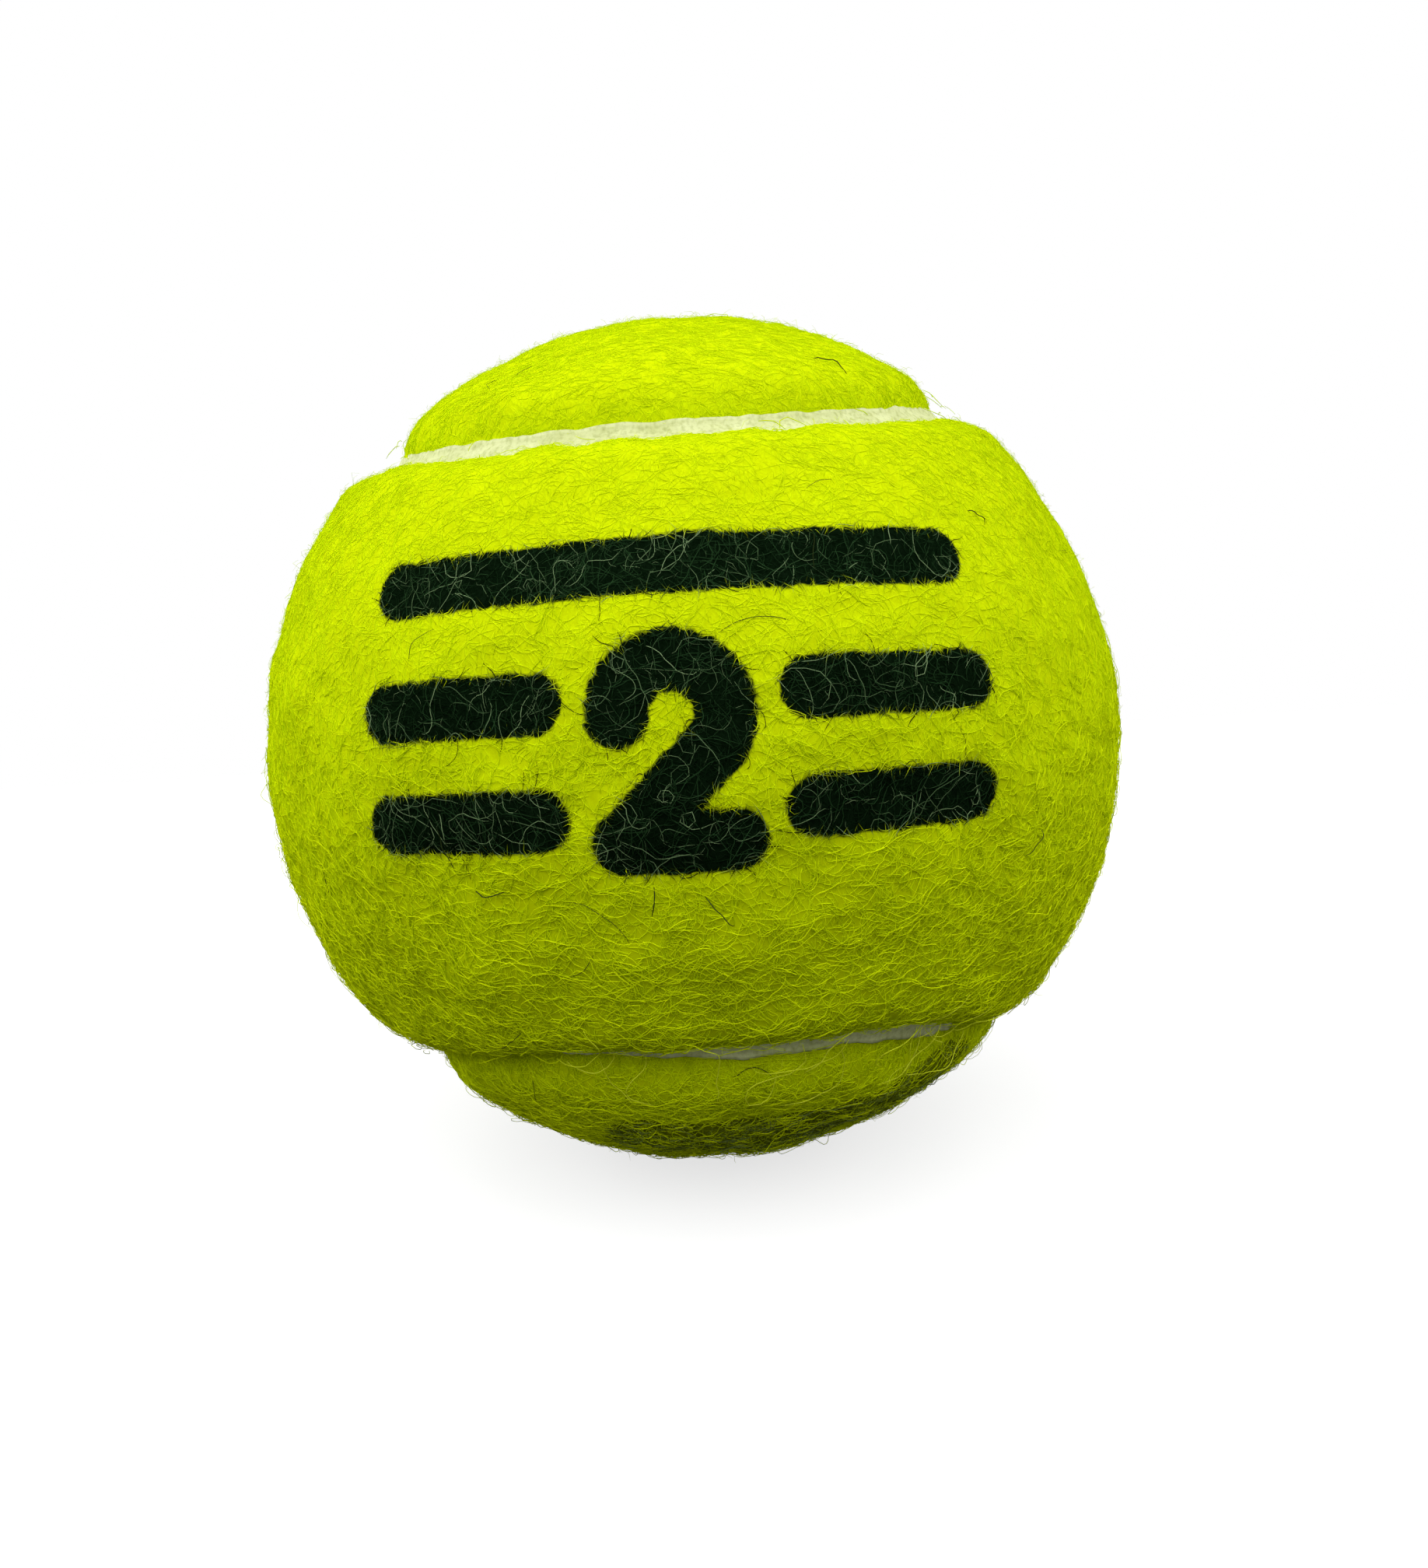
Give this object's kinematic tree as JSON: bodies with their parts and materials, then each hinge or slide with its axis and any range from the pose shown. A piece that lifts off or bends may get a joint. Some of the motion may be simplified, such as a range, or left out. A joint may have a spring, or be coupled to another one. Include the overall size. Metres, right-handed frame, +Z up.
{
  "type": "tennis ball",
  "caption": "Hollow rubber ball covered with interlocking fluorescent yellow-green felt panels, joined along a recessed white curved seam, for striking with a racket.",
  "frame": {"origin": "centre of the ball", "axes": "+Z up; the waist of the front felt panel faces -Y; +Y is the fourfold alternating axis of the seam; +X to the right seen from the front"},
  "size_m": [0.067, 0.067, 0.067],
  "materials": {
    "core_rubber": "moulded matt rubber",
    "core_cement": "cured rubber cement",
    "backing_rubber": "thin rubber coat on the back of the felt",
    "felt": "napped needle felt, fluorescent yellow-green",
    "seam_rubber": "matt white seam compound"
  },
  "bodies": {
    "root": {"core_half_upper": "core_rubber", "core_half_lower": "core_rubber", "core_joint_cement": "core_cement", "panel_backing_front": "backing_rubber", "panel_backing_back": "backing_rubber", "felt_panel_front": "felt", "felt_panel_back": "felt", "seam_strip": "seam_rubber"}
  },
  "joints": []
}
